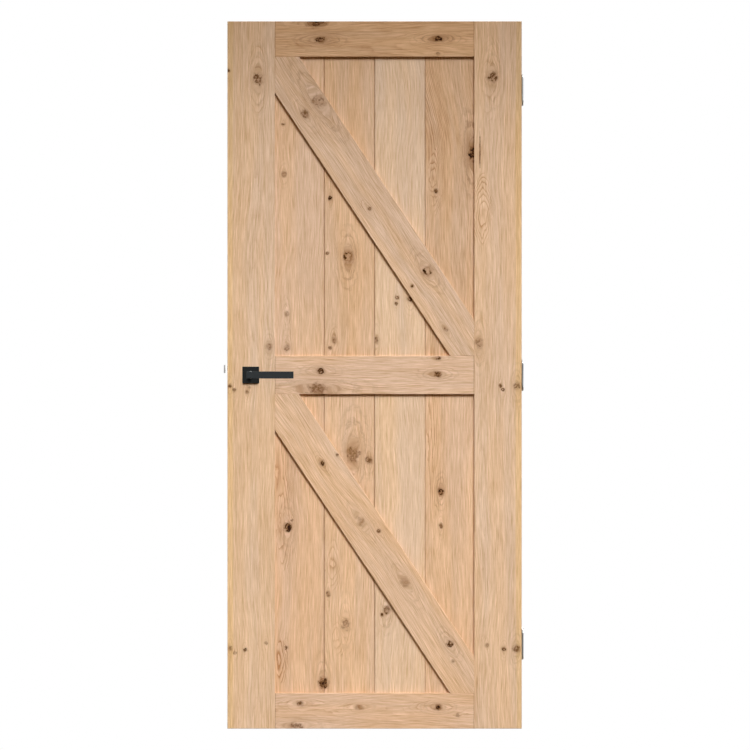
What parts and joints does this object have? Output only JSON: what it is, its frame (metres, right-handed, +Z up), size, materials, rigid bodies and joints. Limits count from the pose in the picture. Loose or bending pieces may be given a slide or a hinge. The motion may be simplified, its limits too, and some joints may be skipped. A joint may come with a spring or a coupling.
{
  "type": "oak interior door",
  "caption": "Framed and braced oak interior door leaf of tongued boards, with butt hinges, a sprung latch and square-rose lever handles.",
  "frame": {"origin": "middle of the leaf's bottom edge, halfway through its thickness", "axes": "+Z up the leaf, +X across it from the lock edge to the hinge edge, +Y through it from the front face to the back face, the way it opens"},
  "size_m": [0.9, 0.144, 2.115],
  "materials": {
    "oak_frame": "matt clear-finished knotty oak, stiles and rails",
    "oak_boards": "matt clear-finished knotty oak, tongued boards",
    "oak_braces": "matt clear-finished knotty oak, braces",
    "beech": "bare beech dowel",
    "black_coat": "matt black powder coat",
    "brushed_steel": "satin steel",
    "zinc_steel": "bright zinc plate",
    "spring_steel": "oiled spring wire",
    "nylon": "natural nylon"
  },
  "bodies": {
    "frame_plates": {"lower_hinge_bearings": "brushed_steel", "lower_hinge_frame_plate": "brushed_steel", "lower_hinge_pin": "brushed_steel", "middle_hinge_bearings": "brushed_steel", "middle_hinge_frame_plate": "brushed_steel", "middle_hinge_pin": "brushed_steel", "upper_hinge_bearings": "brushed_steel", "upper_hinge_frame_plate": "brushed_steel", "upper_hinge_pin": "brushed_steel"},
    "leaf": {"back_lower_brace": "oak_braces", "back_rose_base": "zinc_steel", "back_rose_bush": "nylon", "back_rose_cover": "black_coat", "back_upper_brace": "oak_braces", "bottom_rail": "oak_frame", "case_rivets": "zinc_steel", "follower_spring": "spring_steel", "forend_screws": "brushed_steel", "front_lower_brace": "oak_braces", "front_rose_base": "zinc_steel", "front_rose_bush": "nylon", "front_rose_cover": "black_coat", "front_upper_brace": "oak_braces", "hinge_stile": "oak_frame", "latch_case": "zinc_steel", "latch_case_cover": "zinc_steel", "latch_forend": "brushed_steel", "latch_spring": "spring_steel", "lock_stile": "oak_frame", "lower_board_1": "oak_boards", "lower_board_2": "oak_boards", "lower_board_3": "oak_boards", "lower_board_4": "oak_boards", "lower_hinge_door_plate": "brushed_steel", "lower_hinge_screws": "brushed_steel", "middle_hinge_door_plate": "brushed_steel", "middle_hinge_screws": "brushed_steel", "middle_rail": "oak_frame", "rail_dowels": "beech", "rose_bolts": "brushed_steel", "rose_sleeves": "brushed_steel", "top_rail": "oak_frame", "upper_board_1": "oak_boards", "upper_board_2": "oak_boards", "upper_board_3": "oak_boards", "upper_board_4": "oak_boards", "upper_hinge_door_plate": "brushed_steel", "upper_hinge_screws": "brushed_steel"},
    "handle": {"back_lever": "black_coat", "follower": "zinc_steel", "front_lever": "black_coat", "lever_grub_screws": "brushed_steel", "spindle": "brushed_steel"},
    "latch": {"latch_bolt": "brushed_steel"}
  },
  "joints": [
    {"name": "leaf_swing", "type": "hinge", "parent": "frame_plates", "child": "leaf", "pos_m": [0.4415, 0.028, 0], "axis": [0, 0, -1], "range_deg": [0, 175]},
    {"name": "handle_turn", "type": "hinge", "parent": "leaf", "child": "handle", "pos_m": [-0.37, 0, 1.0575], "axis": [0, 1, 0], "range_deg": [0, 40], "stiffness_Nm_per_rad": 1.2, "springref_deg": -34.38, "deforming": ["follower_spring"]},
    {"name": "latch_slide", "type": "slide", "parent": "leaf", "child": "latch", "axis": [1, 0, 0], "range_m": [0, 0.012], "deforming": ["latch_spring"]}
  ],
  "couplings": [
    {"joint": "latch_slide", "follows": "handle_turn", "m_per_rad": 0.017188}
  ]
}
